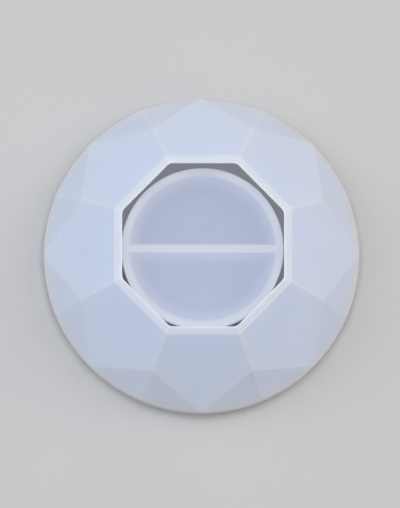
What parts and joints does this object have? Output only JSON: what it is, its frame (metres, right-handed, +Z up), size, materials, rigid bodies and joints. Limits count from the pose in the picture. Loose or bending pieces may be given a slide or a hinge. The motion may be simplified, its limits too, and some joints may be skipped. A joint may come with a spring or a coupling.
{
  "type": "resin casting mould",
  "caption": "Round gem-cut silicone mould with an octagonal mouth and a loose round hollow core that lifts out, for casting a tealight holder.",
  "frame": {"origin": "centre of the shell's flat underside, on the surface that the mould stands on", "axes": "+Z up out of the mouth; +X along the core's web; flats of the octagonal mouth face X and Y"},
  "size_m": [0.08, 0.08, 0.032],
  "materials": {
    "shell_silicone": "translucent white moulded silicone, satin",
    "core_silicone": "translucent white moulded silicone, satin"
  },
  "bodies": {
    "shell": {"mould_shell": "shell_silicone"},
    "core": {"core_insert": "core_silicone"}
  },
  "joints": [
    {"name": "core_lift", "type": "slide", "parent": "shell", "child": "core", "axis": [0, 0, 1], "range_m": [0, 0.045]}
  ]
}
